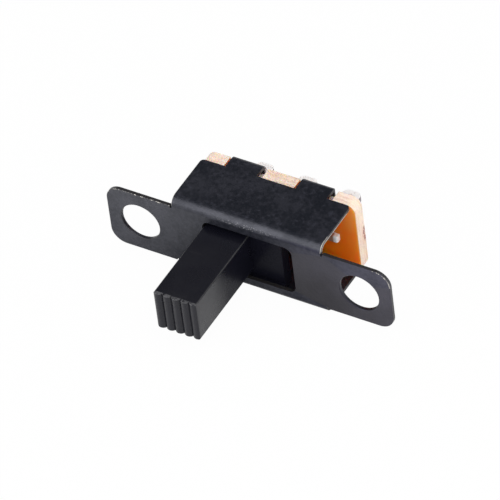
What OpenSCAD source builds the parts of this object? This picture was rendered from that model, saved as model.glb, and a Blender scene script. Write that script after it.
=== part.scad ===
// Miniature slide switch with two positions, three terminals and two mounting ears.
// X runs along the slide, -Y points out of the front plate and +Z is up.
// The origin is midway between the mounting holes, on the front face of the plate.
// The slider stands at its left stop.

/* [Frame] */
// Thickness of the sheet steel
sheet_t = 0.25; // [0.2:0.05:0.35]
// Distance from the centre of a mounting hole to the end of its ear
ear_end = 2.2; // [1.7:0.1:3]
// Height of the ears
ear_h = 4.5; // [3.8:0.1:4.6]
// Corner radius of the ears
ear_r = 1; // [0.2:0.1:1.8]
// Distance between the centres of the mounting holes
hole_pitch = 15; // [14:0.1:16]
// Diameter of the mounting holes
hole_d = 2.65; // [2:0.05:3]
// Length of the folded channel along the slide
channel_l = 10.2; // [9.8:0.1:11]
// Height of the channel over its two flanges
channel_h = 5.6; // [5.5:0.1:6.5]
// How far the middle of the channel sits above the line through the mounting holes
channel_rise = 0.03; // [0:0.01:0.1]
// Room inside the channel between the front plate and the base
room_d = 3.6; // [3.5:0.05:4.5]
// Inside radius of the folds between plate and flanges
fold_r = 0.4; // [0.1:0.05:0.5]
// Corner radius of the window for the handle
window_r = 0.5; // [0.1:0.05:0.55]
// Radius on the rear corners of the flanges
flange_corner_r = 0.25; // [0.05:0.05:0.6]
// Width of the relief slots where the ears meet the folds
relief_w = 0.1; // [0.05:0.05:0.4]
// Depth of the relief slots below the edge of the ears
relief_d = 0.15; // [0.1:0.05:0.5]

/* [Tabs] */
// Width of the crimped tabs
tab_w = 2.15; // [1.5:0.05:2.8]
// Distance between the two tabs on a flange, centre to centre
tab_pitch = 4.8; // [4:0.1:5.2]
// Inside radius of the fold of a crimped tab
tab_fold_r = 0.15; // [0.05:0.05:0.2]
// Reach of a crimped tab over the back of the base, from the outside of the flange
tab_lap = 1.1; // [0.8:0.1:1.6]
// Radius on the free corners of a crimped tab
tab_corner_r = 0.25; // [0.05:0.05:0.5]
// Radius at the sides of a crimped tab where it folds over the base, seen from above
tab_side_r = 0.2; // [0.05:0.05:0.25]

/* [Base] */
// Length of the base board
base_l = 10.5; // [10.1:0.1:12]
// Height of the base board
base_h = 5.5; // [5.2:0.1:5.5]
// Thickness of the base board
base_t = 0.9; // [0.6:0.1:1.5]
// Corner radius of the base board
base_r = 0.6; // [0.1:0.1:1]
// Side play of a tab in its notch
notch_play = 0.45; // [0.3:0.05:0.6]
// Depth of the notches that the tabs pass through
notch_d = 0.6; // [0.45:0.05:0.7]
// How far the crimped base sits to the right of the middle of the frame
base_shift = 0.1; // [0:0.05:0.15]

/* [Terminals] */
// Distance between neighbouring terminals
pin_pitch = 3; // [2.8:0.1:3.2]
// Width of a terminal where it passes through the base
pin_w = 1.2; // [0.8:0.1:1.4]
// Thickness of a terminal
pin_t = 0.5; // [0.3:0.05:0.7]
// Length of a terminal behind the base
pin_reach = 2.7; // [2.2:0.1:5]
// How far the row of terminals sits below the middle of the base
pin_drop = 0.15; // [0:0.05:0.3]
// Width of the contact head inside the switch
head_w = 2; // [1.8:0.1:2.4]
// Height of the contact head above the base
head_rise = 0.35; // [0.25:0.05:0.5]
// Radius on the front corners of the contact head
head_r = 0.12; // [0.05:0.01:0.2]
// Diameter of the solder eye
eye_d = 0.6; // [0.4:0.05:0.7]
// Distance from the tip of a terminal to the centre of its eye
eye_inset = 0.65; // [0.6:0.05:0.9]
// Corner radius at the tip of a terminal
tip_r = 0.35; // [0.1:0.05:0.39]
// Width of the staked burrs that lock a terminal behind the base
burr_w = 0.15; // [0.05:0.05:0.25]
// Length of the staked burrs
burr_l = 0.35; // [0.2:0.05:0.6]

/* [Handle] */
// Travel of the slider between its two positions
travel = 3.1; // [2.8:0.1:3.2]
// Width of the handle along the slide
handle_w = 2.9; // [2.6:0.1:3]
// Height of the handle
handle_h = 2.85; // [2.4:0.05:3]
// How far the middle of the handle sits below the line through the mounting holes
handle_drop = 0.05; // [0:0.01:0.1]
// Reach of the handle in front of the plate
handle_reach = 6.05; // [3:0.05:10]
// Radius on the long edges of the handle
handle_r = 0.08; // [0.04:0.02:0.16]
// Number of grip ribs on the end of the handle
rib_count = 5; // [4:1:7]
// Radius of the rounded fronts of the grip ribs
rib_r = 0.36; // [0.32:0.02:0.5]
// Distance from a side of the handle to the middle of its outer rib
rib_inset = 0.23; // [0.2:0.01:0.3]
// Most that a groove may cut into the end of the handle
rib_depth = 0.25; // [0.2:0.01:0.3]
// Gap between the handle and each end of the window at its stops
stop_gap = 0.05; // [0.05:0.05:0.3]
// Gap between the handle and the long edges of the window
window_gap = 0.4; // [0.25:0.05:0.5]

/* [Slider] */
// Thickness of the slider flange behind the front plate
flange_t = 1; // [0.8:0.05:1.2]
// Running gap between the slider flange and the front plate
face_gap = 0.05; // [0.03:0.01:0.08]
// Depth of the sunk field in the front of the slider flange
field_d = 0.25; // [0.1:0.05:0.3]
// Width of the rails above and below that field, which run on the front plate
rail_w = 0.5; // [0.45:0.01:0.55]
// Running gap between the slider flange and each flange of the frame
side_gap = 0.08; // [0.04:0.01:0.15]
// How far the slider flange stays inside the open end of the channel
mouth_inset = 0; // [0:0.05:0.3]
// Corner radius of the slider flange
flange_r = 0.3; // [0.1:0.05:0.6]
// Wall round the pocket for the moving contact
pocket_wall = 0.6; // [0.4:0.05:0.7]
// Gap between the slider and the contact heads
head_gap = 0.25; // [0.2:0.01:0.3]

/* [Moving contact] */
// Thickness of the contact strip
strip_t = 0.2; // [0.1:0.05:0.25]
// Width of the contact strip
strip_w = 1.8; // [1.5:0.1:2]
// Distance between the two feet of the contact strip
foot_pitch = 3; // [2.8:0.1:3.2]
// Drop from the bridge of the contact strip to its feet
foot_drop = 0.6; // [0.5:0.05:0.7]
// Radius of the feet, at the middle of the strip
foot_r = 0.35; // [0.25:0.05:0.4]
// Radius of the bends beside the bridge, at the middle of the strip
bridge_r = 0.3; // [0.2:0.05:0.4]
// Slope of the legs and toes of the contact strip, in degrees
leg_angle = 40; // [36:1:45]
// Length of the turned-up toes
toe_l = 0.35; // [0.2:0.05:0.45]
// Gap between the contact strip and the walls of its pocket
strip_gap = 0.1; // [0.05:0.01:0.15]
// Room for the contact strip to give way in its pocket
strip_give = 0.3; // [0.2:0.05:0.35]
// Working gap between the feet and the contact heads
foot_gap = 0.03; // [0.02:0.01:0.05]

/* [Spring] */
// Outside diameter of the contact spring
spring_d = 1.4; // [1.2:0.05:1.5]
// Diameter of the spring wire
wire_d = 0.2; // [0.14:0.02:0.22]
// Length of the spring as it sits in the switch
spring_l = 1.6; // [1.4:0.05:1.65]
// Number of turns of the spring
spring_turns = 5; // [4:0.5:6]
// Gap between the spring and the bore that it sits in
bore_gap = 0.1; // [0.05:0.01:0.15]

/* [Hidden] */
$fn = 48;

// Overshoot of a cut past the faces that it passes
cut = 0.5;
// Depth by which joined solids share material
bite = 0.2;
// Clearance of the spring at each of its two seats
seat_gap = 0.01;
// Sides of the spring wire and steps in one of its turns
wire_sides = 8;
turn_steps = 24;

// The channel, front to back and from its middle to its flanges
channel_top = channel_h / 2;
room_top = channel_top - sheet_t;
base_front = sheet_t + room_d;
base_back = base_front + base_t;

// The window follows the handle and its travel
window_l = handle_w + travel + 2 * stop_gap;
window_h = handle_h + 2 * window_gap;

// The slider in its left position
slider_x = -travel / 2;
flange_front = sheet_t + face_gap;
flange_back = flange_front + flange_t;
flange_l = channel_l - travel - 2 * mouth_inset;
flange_h = 2 * (room_top - side_gap);
field_back = flange_front + field_d;
rib_pitch = (handle_w - 2 * rib_inset) / (rib_count - 1);

// The contact strip, measured along its middle line
head_front = base_front - head_rise;
foot_y = head_front - foot_gap - strip_t / 2;
bridge_y = foot_y - foot_drop;
leg_l = (foot_drop - (foot_r + bridge_r) * (1 - cos(leg_angle))) / sin(leg_angle);
bridge_l = foot_pitch / 2 - (foot_r + bridge_r) * sin(leg_angle) - leg_l * cos(leg_angle);
strip_l = foot_pitch + 2 * foot_r * sin(leg_angle) + 2 * toe_l * cos(leg_angle) + strip_t * sin(leg_angle);

// The pocket and the spring bore in the slider
strip_front = bridge_y - strip_t / 2;
pocket_l = strip_l + 2 * strip_gap;
pocket_h = strip_w + 2 * strip_gap;
pocket_floor = strip_front - strip_give;
carrier_back = head_front - head_gap;
spring_seat = strip_front - spring_l;
bore_d = spring_d + 2 * bore_gap;

// Rectangle round the origin with rounded corners
module rounded_rect(l, h, r) {
    square([l - 2 * r, h], center = true);
    square([l, h - 2 * r], center = true);
    for (x = [-1, 1], y = [-1, 1])
        translate([x * (l / 2 - r), y * (h / 2 - r)])
            circle(r);
}

// Stands an outline drawn in X and Z upright, from y0 backwards over the depth d
module upright(y0, d) {
    translate([0, y0 + d, 0])
        rotate([90, 0, 0])
            linear_extrude(d)
                children();
}

// Runs a section drawn in Y and Z along X over the length l, centred
module along_x(l) {
    rotate([90, 0, 90])
        translate([0, 0, -l / 2])
            linear_extrude(l)
                children();
}

// Section from y0 to y1 and h high, with the radius r on its two front corners
module front_rounded(y0, y1, h, r) {
    translate([y0 + r, -h / 2])
        square([y1 - y0 - r, h]);
    translate([y0, r - h / 2])
        square([r, h - 2 * r]);
    for (z = [-1, 1])
        translate([y0 + r, z * (h / 2 - r)])
            circle(r);
}

// Folded section of the frame, open at the back
module channel_section() {
    difference() {
        front_rounded(0, base_front, channel_h, fold_r + sheet_t);
        front_rounded(sheet_t, base_front + cut, 2 * room_top, fold_r);
    }
}

// Flanges seen from above, with rounded rear corners
module channel_plan() {
    translate([0, base_front / 2 - cut / 2])
        rounded_rect(channel_l, base_front + cut, flange_corner_r);
    translate([-channel_l / 2, -cut])
        square([channel_l, base_front / 2]);
}

// Section of one crimped tab on the upper flange: run, fold and lap
module tab_section() {
    fold_y = base_back - tab_fold_r;
    fold_z = room_top - tab_fold_r;
    lap_z = channel_top - tab_lap;
    translate([base_front - bite, room_top])
        square([fold_y - base_front + bite, sheet_t]);
    translate([base_back, lap_z])
        square([sheet_t, fold_z - lap_z]);
    translate([fold_y, fold_z])
        intersection() {
            difference() {
                circle(tab_fold_r + sheet_t);
                circle(tab_fold_r);
            }
            square(tab_fold_r + sheet_t);
        }
}

// A crimped tab with rounded corners, as wide as its root on the flange
module crimped_tab() {
    intersection() {
        along_x(tab_w)
            tab_section();
        upright(0, base_back + sheet_t + cut)
            translate([0, channel_top])
                rounded_rect(tab_w, 2 * tab_lap, tab_corner_r);
        linear_extrude(channel_h, center = true)
            rounded_rect(tab_w, 2 * (base_back + sheet_t), tab_side_r);
    }
}

// Outline of the front plate with both ears and the relief slots beside the folds
module plate_outline() {
    difference() {
        rounded_rect(hole_pitch + 2 * ear_end, ear_h, ear_r);
        for (x = [-1, 1], z = [-1, 1])
            translate([x * (channel_l + relief_w) / 2, z * ear_h / 2])
                square([relief_w, 2 * relief_d], center = true);
    }
}

module steel_frame() {
    color("#33353a")
        difference() {
            union() {
                upright(0, sheet_t)
                    plate_outline();
                translate([0, 0, channel_rise])
                    intersection() {
                        along_x(channel_l)
                            channel_section();
                        linear_extrude(channel_h + cut, center = true)
                            channel_plan();
                    }
                for (x = [-1, 1], z = [0, 1])
                    translate([x * tab_pitch / 2, 0, channel_rise])
                        mirror([0, 0, z])
                            crimped_tab();
            }
            upright(-cut, sheet_t + 2 * cut)
                rounded_rect(window_l, window_h, window_r);
            for (x = [-1, 1])
                translate([x * hole_pitch / 2, sheet_t + cut, 0])
                    rotate([90, 0, 0])
                        cylinder(d = hole_d, h = sheet_t + 2 * cut);
        }
}

module base_board() {
    notch_w = tab_w + notch_play;
    color("#e8a04a")
        translate([base_shift, 0, channel_rise])
            upright(base_front, base_t)
                difference() {
                    rounded_rect(base_l, base_h, base_r);
                    for (x = [-1, 1], z = [0, 1])
                        mirror([0, z])
                            translate([x * tab_pitch / 2 - notch_w / 2, base_h / 2 - notch_d])
                                square([notch_w, notch_d + cut]);
                    for (x = [-1:1])
                        translate([x * pin_pitch, -pin_drop])
                            square([pin_w, pin_t], center = true);
                }
}

// Flat outline of a terminal: contact head, neck, burrs and lug with its eye
module terminal_outline() {
    tip_y = base_back + pin_reach;
    head_mid = (head_front + base_front) / 2;
    difference() {
        union() {
            translate([0, head_mid])
                rounded_rect(head_w, head_rise, head_r);
            translate([-head_w / 2, head_mid])
                square([head_w, head_rise / 2]);
            translate([-pin_w / 2, head_mid])
                square([pin_w, tip_y - tip_r - head_mid]);
            translate([0, tip_y - 2 * tip_r])
                rounded_rect(pin_w, 4 * tip_r, tip_r);
            polygon([
                [-pin_w / 2 - burr_w, base_back], [pin_w / 2 + burr_w, base_back],
                [pin_w / 2, base_back + burr_l], [-pin_w / 2, base_back + burr_l]
            ]);
        }
        translate([0, tip_y - eye_inset])
            circle(d = eye_d);
    }
}

// A terminal at its place in the base: -1 is left, 0 is the middle and 1 is right
module terminal(place) {
    color("#c9ccd0")
        translate([base_shift + place * pin_pitch, 0, channel_rise - pin_drop])
            linear_extrude(pin_t, center = true)
                terminal_outline();
}

module left_terminal() {
    terminal(-1);
}

module middle_terminal() {
    terminal(0);
}

module right_terminal() {
    terminal(1);
}

// Handle seen from above: half-round ribs side by side on its end
module handle_plan() {
    body_y = rib_depth - handle_reach;
    translate([-handle_w / 2, body_y])
        square([handle_w, field_back + bite - body_y]);
    for (i = [0:rib_count - 1])
        translate([i * rib_pitch + rib_inset - handle_w / 2, rib_r - handle_reach])
            circle(rib_r);
}

module handle() {
    intersection() {
        upright(-handle_reach - cut, handle_reach + field_back + bite + cut)
            rounded_rect(handle_w, handle_h, handle_r);
        linear_extrude(handle_h, center = true)
            handle_plan();
    }
}

// Slider flange, rounded in front to clear the folds of the frame, with a sunk field between two rails
module slider_flange() {
    difference() {
        intersection() {
            upright(flange_front - cut, flange_t + cut)
                rounded_rect(flange_l, flange_h, flange_r);
            along_x(flange_l)
                front_rounded(flange_front, flange_back + cut, flange_h, fold_r);
        }
        upright(flange_front - cut, field_d + cut)
            square([flange_l + cut, flange_h - 2 * rail_w], center = true);
    }
}

module slider() {
    color("#232326")
        translate([slider_x, 0, channel_rise])
            difference() {
                union() {
                    translate([0, 0, -handle_drop - channel_rise])
                        handle();
                    slider_flange();
                    upright(flange_back - bite, carrier_back - flange_back + bite)
                        rounded_rect(pocket_l + 2 * pocket_wall, pocket_h + 2 * pocket_wall, flange_r);
                }
                upright(pocket_floor, carrier_back - pocket_floor + cut)
                    square([pocket_l, pocket_h], center = true);
                translate([0, pocket_floor + cut, 0])
                    rotate([90, 0, 0])
                        cylinder(d = bore_d, h = pocket_floor - spring_seat + cut);
            }
}

// Sector of a ring that turns a strip through an angle at the radius r of its middle line
module strip_bend(r, angle) {
    reach = 2 * (r + strip_t);
    translate([0, r])
        intersection() {
            difference() {
                circle(r + strip_t / 2);
                circle(r - strip_t / 2);
            }
            polygon([
                [0, 0], [0, -reach],
                [reach * tan(angle / 2), -reach],
                [reach * sin(angle), -reach * cos(angle)]
            ]);
        }
}

// Moves on to the far end of a bend
module after_bend(r, angle) {
    translate([0, r])
        rotate(angle)
            translate([0, -r])
                children();
}

// A straight stretch of strip, with what follows at its far end
module strip_run(l) {
    translate([0, -strip_t / 2])
        square([l, strip_t]);
    translate([l, 0])
        children();
}

// Right half of the contact strip, from the middle of its bridge to the toe
module half_strip() {
    strip_run(bridge_l) {
        strip_bend(bridge_r, leg_angle);
        after_bend(bridge_r, leg_angle)
            strip_run(leg_l)
                mirror([0, 1]) {
                    strip_bend(foot_r, 2 * leg_angle);
                    after_bend(foot_r, 2 * leg_angle)
                        strip_run(toe_l);
                }
    }
}

module moving_contact() {
    color("#c88a55")
        translate([slider_x, bridge_y, channel_rise])
            linear_extrude(strip_w, center = true)
                for (x = [0, 1])
                    mirror([x, 0])
                        half_strip();
}

// Height of the spring wire after a share s of its turns: half a turn at each end lies flat
function wire_rise(s) =
    let (flat = 0.5 / spring_turns)
    min(1, max(0, (s - flat) / (1 - 2 * flat)));

// Points of the spring wire, one ring of wire_sides points after the other
function wire_points() = [
    for (i = [0:spring_turns * turn_steps])
        let (s = i / (spring_turns * turn_steps))
        let (y = seat_gap + wire_d / 2 + wire_rise(s) * (spring_l - wire_d - 2 * seat_gap))
        for (k = [0:wire_sides - 1])
            let (r = (spring_d - wire_d + wire_d * cos(k * 360 / wire_sides)) / 2)
            [
                r * cos(i * 360 / turn_steps),
                y + wire_d / 2 * sin(k * 360 / wire_sides),
                r * sin(i * 360 / turn_steps)
            ]
];

// Faces between neighbouring rings, and the two cut ends
function wire_faces() =
    let (last = spring_turns * turn_steps)
    concat(
        [
            for (i = [0:last - 1], k = [0:wire_sides - 1])
                let (a = i * wire_sides, n = (k + 1) % wire_sides)
                [a + k, a + n, a + wire_sides + n, a + wire_sides + k]
        ],
        [[for (k = [wire_sides - 1:-1:0]) k]],
        [[for (k = [0:wire_sides - 1]) last * wire_sides + k]]
    );

module contact_spring() {
    color("#d8d8da")
        translate([slider_x, spring_seat, channel_rise])
            polyhedron(wire_points(), wire_faces());
}

steel_frame();
base_board();
left_terminal();
middle_terminal();
right_terminal();
slider();
moving_contact();
contact_spring();
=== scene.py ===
"""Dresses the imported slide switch: rounds and finishes its pieces, then sets the studio and the camera.

Sizes and places are in millimetres, and the scale of a texture is in features to the millimetre.
"""
import logging
import math
from dataclasses import dataclass, field
from enum import Enum
from functools import reduce
from typing import Any, Callable

import bmesh
import bpy
from mathutils import Matrix, Quaternion, Vector


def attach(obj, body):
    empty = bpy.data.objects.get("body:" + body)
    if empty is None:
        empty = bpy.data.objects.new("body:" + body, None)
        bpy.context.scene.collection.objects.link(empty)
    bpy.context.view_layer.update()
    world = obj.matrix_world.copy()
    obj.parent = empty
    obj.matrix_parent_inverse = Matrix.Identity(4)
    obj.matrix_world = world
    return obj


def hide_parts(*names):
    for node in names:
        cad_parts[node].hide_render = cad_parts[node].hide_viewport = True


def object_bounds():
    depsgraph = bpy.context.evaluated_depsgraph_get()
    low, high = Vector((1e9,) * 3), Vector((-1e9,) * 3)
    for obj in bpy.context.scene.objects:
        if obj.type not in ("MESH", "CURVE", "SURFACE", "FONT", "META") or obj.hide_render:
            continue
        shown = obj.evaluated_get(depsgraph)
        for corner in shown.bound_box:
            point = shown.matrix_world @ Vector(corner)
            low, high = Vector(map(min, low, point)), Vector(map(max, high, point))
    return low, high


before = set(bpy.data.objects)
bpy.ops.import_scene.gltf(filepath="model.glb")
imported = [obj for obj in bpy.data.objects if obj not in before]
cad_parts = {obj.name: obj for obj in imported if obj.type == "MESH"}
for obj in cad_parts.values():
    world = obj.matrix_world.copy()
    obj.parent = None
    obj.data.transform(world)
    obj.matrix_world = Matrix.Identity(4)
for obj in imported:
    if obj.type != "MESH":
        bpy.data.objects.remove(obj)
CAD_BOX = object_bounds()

log = logging.getLogger("slide_switch")

# One millimetre, in metres
MM = 0.001
# An edge is rounded where its faces turn by more than this
SHARP_ANGLE = math.radians(32)
# Faces that turn by less than this are joined
FLAT_ANGLE = math.radians(0.6)
# Faces that turn by less than this are shaded as one
SMOOTH_ANGLE = math.radians(40)
# Points of a CAD copy that are closer than this are joined
CAD_MERGE = 0.015
# Points of a rounded piece that are closer than this are joined
ROUNDED_MERGE = 0.003
# A place counts as on a plane within this distance
NEAR = 0.01
# A face looks along an axis where its normal's part along it is larger than this
FACING = 0.9
# A face leans towards an axis where its normal's part along it is larger than this
LEANING = 0.5
# A face slants to an axis where its normal's part along it lies between these two
SLANT = (0.2, 0.97)
# Name of the mark that says how far a face shows a cut or worn edge
CUT_EDGE = "cut_edge"

Colour = tuple[float, float, float]
Place = tuple[float, float, float]
Span = tuple[float, float]


class Slot(Enum):
    """The record's material slots."""

    FRAME = "black_steel"
    BASE = "amber_laminate"
    TERMINAL = "tinned_brass"
    SLIDER = "black_plastic"
    STRIP = "contact_bronze"
    SPRING = "spring_wire"


class Body(Enum):
    """The bodies that pieces ride on."""

    HOUSING = "housing"
    SLIDING_SET = "sliding_set"


class EdgeGrade(Enum):
    """How far an edge is rounded."""

    NONE = 0.0
    CRISP = 0.02
    EASED = 0.035
    WORN = 0.05
    ROLLED = 0.065


EdgeRule = Callable[[Vector, Vector, Vector], EdgeGrade]
FaceRule = Callable[[Vector, Vector], float]


@dataclass(frozen=True)
class Ramp:
    """A value that goes smoothly from start to end while another one goes from low to high."""

    low: Any
    high: Any
    start: float = 0.0
    end: float = 1.0


@dataclass(frozen=True)
class Patch:
    """A soft oval patch: its middle, half its size along X, Y and Z, the share that fades, its strength."""

    centre: Place
    reach: Place
    soft: float = 0.6
    strength: float = 1.0


# Shader nodes


@dataclass
class Patchboard:
    """Adds nodes to one node tree and joins them."""

    tree: bpy.types.NodeTree

    def feed(self, node: bpy.types.Node, inputs: dict[Any, Any]) -> None:
        """Gives a node its values and joins the sockets that lead to it.

        Args:
            node: the node.
            inputs: value or incoming socket for each input, by its name or number.
        """
        for name, value in inputs.items():
            if isinstance(value, bpy.types.NodeSocket):
                self.tree.links.new(value, node.inputs[name])
            else:
                node.inputs[name].default_value = value

    def add(self, kind: str, inputs: dict[Any, Any] | None = None, **settings: Any) -> bpy.types.Node:
        """Adds a node.

        Args:
            kind: Blender's name for the node's type.
            inputs: value or incoming socket for each input, by its name or number.
            settings: the node's own properties.

        Returns:
            The new node.
        """
        node = self.tree.nodes.new(kind)
        for name, value in settings.items():
            setattr(node, name, value)
        self.feed(node, inputs or {})
        return node

    def place(self) -> bpy.types.NodeSocket:
        """Gives the piece's own coordinates, in millimetres."""
        metres = self.add("ShaderNodeTexCoord").outputs["Object"]
        return self.add("ShaderNodeVectorMath", {0: metres, "Scale": 1.0 / MM}, operation="SCALE").outputs[0]

    def split(self, place: Any) -> tuple[Any, Any, Any]:
        """Splits coordinates into their parts along X, Y and Z."""
        return tuple(self.add("ShaderNodeSeparateXYZ", {0: place}).outputs)

    def marked(self) -> bpy.types.NodeSocket:
        """Reads how far a face shows a cut or worn edge."""
        return self.add("ShaderNodeAttribute", attribute_name=CUT_EDGE).outputs["Fac"]

    def maths(self, operation: str, a: Any, b: Any = 0.0) -> bpy.types.NodeSocket:
        """Works out one sum of a and b, values or sockets."""
        return self.add("ShaderNodeMath", {0: a, 1: b}, operation=operation).outputs[0]

    def product(self, *factors: Any) -> bpy.types.NodeSocket:
        """Multiplies values and sockets."""
        return reduce(lambda a, b: self.maths("MULTIPLY", a, b), factors)

    def total(self, *terms: Any) -> bpy.types.NodeSocket:
        """Adds up values and sockets."""
        return reduce(lambda a, b: self.maths("ADD", a, b), terms)

    def between(self, share: Any, a: Any, b: Any) -> bpy.types.NodeSocket:
        """Gives the value at a share of the way from a to b."""
        return self.add("ShaderNodeMix", {0: share, 2: a, 3: b}).outputs[0]

    def ramp(self, value: Any, ramp: Ramp) -> bpy.types.NodeSocket:
        """Sends a value through a smooth ramp.

        Args:
            value: the socket to read.
            ramp: the ramp.

        Returns:
            The result's socket.
        """
        inputs = {0: value, 1: ramp.low, 2: ramp.high, 3: ramp.start, 4: ramp.end}
        return self.add("ShaderNodeMapRange", inputs, interpolation_type="SMOOTHSTEP").outputs[0]

    def blend(self, share: Any, a: Any, b: Any, kind: str = "MIX") -> bpy.types.NodeSocket:
        """Mixes two colours.

        Args:
            share: how much of b is seen.
            a: colour or socket under it.
            b: colour or socket on top.
            kind: how the two combine.

        Returns:
            The mixed colour's socket.
        """
        below, above = (c if isinstance(c, bpy.types.NodeSocket) else (*c, 1.0) for c in (a, b))
        node = self.add("ShaderNodeMix", data_type="RGBA", blend_type=kind)
        self.feed(node, {0: share, 6: below, 7: above})
        return node.outputs[2]

    def spot(self, place: Any, patch: Patch) -> bpy.types.NodeSocket:
        """Marks a patch of a piece.

        Args:
            place: coordinates that it reads.
            patch: the patch.

        Returns:
            The mask's socket, the patch's strength in its middle and 0 outside.
        """
        scale = tuple(1.0 / reach for reach in patch.reach)
        offset = self.add("ShaderNodeVectorMath", {0: place, 1: patch.centre}, operation="SUBTRACT")
        ratio = self.add("ShaderNodeVectorMath", {0: offset.outputs[0], 1: scale}, operation="MULTIPLY")
        length = self.add("ShaderNodeVectorMath", {0: ratio.outputs[0]}, operation="LENGTH")
        return self.ramp(length.outputs["Value"], Ramp(1.0 - patch.soft, 1.0, patch.strength, 0.0))

    def noise(self, place: Any, scale: Any, detail: float = 3.0, rough: float = 0.5) -> bpy.types.NodeSocket:
        """Adds a noise texture.

        Args:
            place: coordinates that it reads.
            scale: its scale.
            detail: number of finer layers.
            rough: weight of the finer layers.

        Returns:
            The noise value's socket.
        """
        inputs = {"Vector": place, "Scale": scale, "Detail": detail, "Roughness": rough}
        return self.add("ShaderNodeTexNoise", inputs).outputs["Fac"]


def shared_effect(
    name: str, inputs: dict[str, str], outputs: tuple[str, ...]
) -> tuple[Patchboard, Any, bpy.types.Node]:
    """Starts a node group for an effect that several finishes share.

    Args:
        name: the group's name.
        inputs: type of each input's socket, by name.
        outputs: names of the outputs, all of them values.

    Returns:
        The patchboard of the group, the sockets of its inputs and its output node.
    """
    tree = bpy.data.node_groups.new(name, "ShaderNodeTree")
    for label, kind in inputs.items():
        tree.interface.new_socket(name=label, in_out="INPUT", socket_type=kind)
    for label in outputs:
        tree.interface.new_socket(name=label, in_out="OUTPUT", socket_type="NodeSocketFloat")
    board = Patchboard(tree)
    return board, board.add("NodeGroupInput").outputs, board.add("NodeGroupOutput")


@dataclass(frozen=True)
class SurfaceGrain:
    """The fine grain of a coating or a moulding. Scales are shares of the grain's own."""

    pit_scale: float = 0.45
    blotch_scale: float = 0.05
    speck_level: float = 0.8
    speck_edge: float = 0.12

    def build(self) -> bpy.types.NodeTree:
        """Builds the group.

        Returns:
            The group, with the outputs Grain, Pits, Specks and Blotches.
        """
        board, given, made = shared_effect(
            "surface_grain",
            {"Place": "NodeSocketVector", "Scale": "NodeSocketFloat", "Speck Share": "NodeSocketFloat"},
            ("Grain", "Pits", "Specks", "Blotches"),
        )
        place, scale = given["Place"], given["Scale"]
        grain = board.noise(place, scale, detail=4.0, rough=0.6)
        pits = board.noise(place, board.product(scale, self.pit_scale), detail=2.0)
        level = board.maths("SUBTRACT", self.speck_level, given["Speck Share"])
        specks = board.ramp(pits, Ramp(level, board.total(level, self.speck_edge)))
        blotches = board.noise(place, board.product(scale, self.blotch_scale), rough=0.55)
        board.feed(made, {"Grain": grain, "Pits": pits, "Specks": specks, "Blotches": blotches})
        return board.tree


@dataclass(frozen=True)
class EdgeWear:
    """The mask for metal laid bare in patches along the edges."""

    unworn_level: float = 0.86
    fall: float = 0.62
    patch_edge: float = 0.1
    least_edge: float = 0.01

    def build(self) -> bpy.types.NodeTree:
        """Builds the group.

        Returns:
            The group, with the output Wear.
        """
        board, given, made = shared_effect(
            "edge_wear",
            {"Place": "NodeSocketVector", "Edge": "NodeSocketFloat", "Scale": "NodeSocketFloat"},
            ("Wear",),
        )
        patches = board.noise(given["Place"], given["Scale"], detail=4.0, rough=0.65)
        level = board.maths("SUBTRACT", self.unworn_level, board.product(given["Edge"], self.fall))
        worn = board.ramp(patches, Ramp(level, board.total(level, self.patch_edge)))
        on_edge = board.maths("GREATER_THAN", given["Edge"], self.least_edge)
        board.feed(made, {"Wear": board.product(worn, on_edge)})
        return board.tree


@dataclass(frozen=True)
class FineScratches:
    """Sparse fine scratches that run along the stretched direction of their coordinates."""

    gap_scale: float = 0.06
    line: Ramp = Ramp(0.66, 0.72)
    gap: Ramp = Ramp(0.5, 0.62)

    def build(self) -> bpy.types.NodeTree:
        """Builds the group.

        Returns:
            The group, with the output Scratches.
        """
        board, given, made = shared_effect(
            "fine_scratches",
            {"Place": "NodeSocketVector", "Scale": "NodeSocketFloat", "Along": "NodeSocketVector"},
            ("Scratches",),
        )
        place, scale = given["Place"], given["Scale"]
        stretched = board.add("ShaderNodeVectorMath", {0: place, 1: given["Along"]}, operation="MULTIPLY")
        lines = board.noise(stretched.outputs[0], scale, detail=2.0, rough=0.4)
        gaps = board.noise(place, board.product(scale, self.gap_scale), detail=2.0)
        scratches = board.product(board.ramp(lines, self.line), board.ramp(gaps, self.gap))
        board.feed(made, {"Scratches": scratches})
        return board.tree


@dataclass(frozen=True)
class PaperLayers:
    """The sawn edge of a paper laminate. Scales are shares of the layers' own."""

    stretch: Place = (0.12, 1.0, 0.12)
    fibre_scale: float = 1.3
    stain_scale: float = 0.14

    def build(self) -> bpy.types.NodeTree:
        """Builds the group.

        Returns:
            The group, with the outputs Layers, Fibres and Stains.
        """
        board, given, made = shared_effect(
            "paper_layers",
            {"Place": "NodeSocketVector", "Scale": "NodeSocketFloat"},
            ("Layers", "Fibres", "Stains"),
        )
        place, scale = given["Place"], given["Scale"]
        across = board.add("ShaderNodeVectorMath", {0: place, 1: self.stretch}, operation="MULTIPLY")
        layers = board.noise(across.outputs[0], scale, rough=0.6)
        fibres = board.noise(place, board.product(scale, self.fibre_scale), detail=5.0, rough=0.7)
        stains = board.noise(place, board.product(scale, self.stain_scale), rough=0.6)
        board.feed(made, {"Layers": layers, "Fibres": fibres, "Stains": stains})
        return board.tree


@dataclass
class Effects:
    """The shared effects, each built once."""

    grain: bpy.types.NodeTree = field(default_factory=SurfaceGrain().build)
    wear: bpy.types.NodeTree = field(default_factory=EdgeWear().build)
    scratches: bpy.types.NodeTree = field(default_factory=FineScratches().build)
    layers: bpy.types.NodeTree = field(default_factory=PaperLayers().build)


# Finishes


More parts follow.
